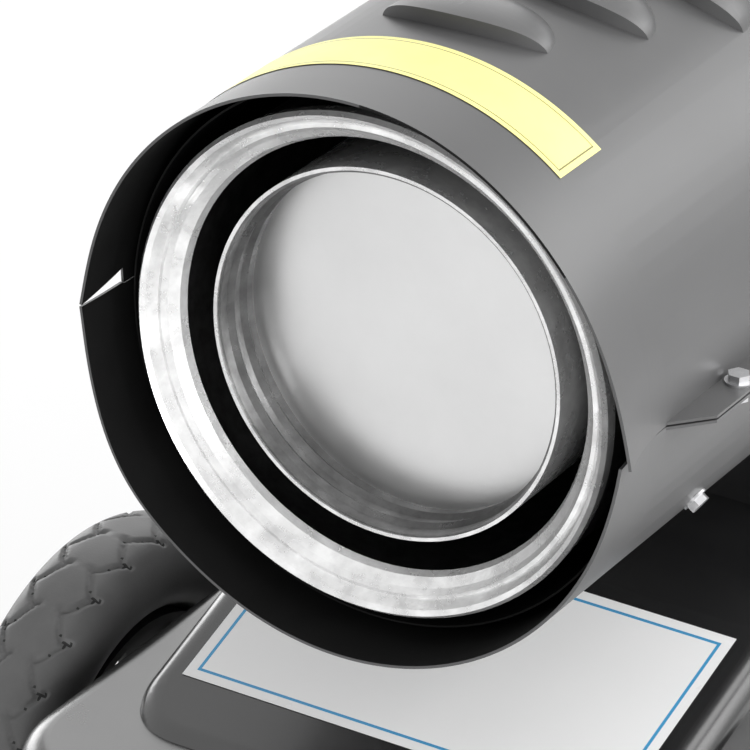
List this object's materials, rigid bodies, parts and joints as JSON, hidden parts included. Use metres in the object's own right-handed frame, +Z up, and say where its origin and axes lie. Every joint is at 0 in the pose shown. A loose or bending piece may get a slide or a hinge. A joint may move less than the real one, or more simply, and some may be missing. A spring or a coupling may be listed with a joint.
{
  "type": "indirect-fired oil heater",
  "caption": "Portable oil-fired hot-air heater: a round barrel with a closed combustion drum, rolled outlet ring and top flue, on a low fuel tank with wheels, rear stand and push handle.",
  "frame": {"origin": "on the floor, under the middle of the bounding box", "axes": "+Z up, hot-air outlet facing -Y, handle at +Y, control panel at +X"},
  "size_m": [0.4376, 0.795, 0.585],
  "materials": {
    "casing_paint": "satin dark grey stove enamel",
    "tank_paint": "semi-gloss black",
    "heat_black": "matt black",
    "heat_steel": "dark mottled sheet steel",
    "bright_steel": "bright rolled stainless sheet",
    "pale_steel": "pale satin stainless sheet",
    "zinc": "zinc-plated",
    "aluminium": "die-cast",
    "brass": "drawn",
    "ceramic": "glazed ceramic",
    "motor_metal": "grey enamel",
    "black_plastic": "fine grain",
    "red_plastic": "moulded",
    "amber_plastic": "clear moulded",
    "soft_rubber": "matt",
    "tyre_rubber": "matt with cut sipes",
    "rim_plastic": "fine grain"
  },
  "bodies": {
    "heater": {"upper_shell": "casing_paint", "lower_shell": "casing_paint", "inner_sleeve": "heat_black", "air_liner": "heat_steel", "casing_spacers": "zinc", "front_ring": "bright_steel", "exchanger_drum": "bright_steel", "chamber_front": "pale_steel", "rear_plate": "heat_steel", "flame_tube": "heat_steel", "drum_supports": "heat_steel", "flue_pipe": "bright_steel", "flue_collar": "casing_paint", "blast_tube": "heat_steel", "diffuser": "heat_steel", "nozzle_holder": "brass", "burner_spider": "zinc", "electrodes": "ceramic", "photocell": "black_plastic", "motor": "motor_metal", "motor_bracket": "zinc", "fuel_pump": "aluminium", "solenoid_valve": "black_plastic", "suction_pipe": "brass", "nozzle_line": "brass", "rear_guard": "zinc", "tank_upper": "tank_paint", "tank_lower": "tank_paint", "filler_neck": "tank_paint", "drain_plug": "zinc", "front_saddle": "tank_paint", "control_box": "tank_paint", "control_panel": "black_plastic", "switch_frame": "black_plastic", "thermostat": "black_plastic", "indicator_lamp": "amber_plastic", "power_gland": "black_plastic", "ignition_transformer": "black_plastic", "control_unit": "black_plastic", "handle_tube": "tank_paint", "handle_grips": "soft_rubber", "handle_clips": "zinc", "rear_stand": "tank_paint", "rubber_feet": "soft_rubber", "axle": "zinc", "axle_brackets": "tank_paint", "axle_fittings": "zinc", "flanged_screws": "zinc"},
    "wheel_left": {"tyre_left": "tyre_rubber", "rim_left": "rim_plastic", "hub_cap_left": "rim_plastic"},
    "wheel_right": {"tyre_right": "tyre_rubber", "rim_right": "rim_plastic", "hub_cap_right": "rim_plastic"},
    "fan_rotor": {"fan": "aluminium", "motor_shaft": "zinc"},
    "filler_lid": {"filler_cap": "black_plastic"},
    "switch": {"switch_rocker": "red_plastic"},
    "knob": {"thermostat_knob": "black_plastic"},
    "reset": {"reset_button": "red_plastic"}
  },
  "joints": [
    {"name": "wheel_left_spin", "type": "hinge", "parent": "heater", "child": "wheel_left", "pos_m": [-0.18, -0.2395, 0.108], "axis": [1, 0, 0], "continuous": true},
    {"name": "wheel_right_spin", "type": "hinge", "parent": "heater", "child": "wheel_right", "pos_m": [0.18, -0.2395, 0.108], "axis": [1, 0, 0], "continuous": true},
    {"name": "fan_spin", "type": "hinge", "parent": "heater", "child": "fan_rotor", "pos_m": [0, 0.0895, 0.389], "axis": [0, 1, 0], "continuous": true},
    {"name": "cap_turn", "type": "hinge", "parent": "heater", "child": "filler_lid", "pos_m": [0.078, -0.0075, 0.25], "axis": [0, 0, 1], "range_deg": [0, 90]},
    {"name": "switch_tilt", "type": "hinge", "parent": "heater", "child": "switch", "pos_m": [0.0945, 0.0825, 0.279], "axis": [0, 1, 0], "range_deg": [0, 14]},
    {"name": "knob_turn", "type": "hinge", "parent": "heater", "child": "knob", "pos_m": [0.1, 0.1325, 0.279], "axis": [1, 0, 0], "range_deg": [0, 270]},
    {"name": "reset_press", "type": "slide", "parent": "heater", "child": "reset", "axis": [-1, 0, 0], "range_m": [0, 0.0025], "stiffness_N_per_m": 400, "springref_m": -0.002}
  ]
}
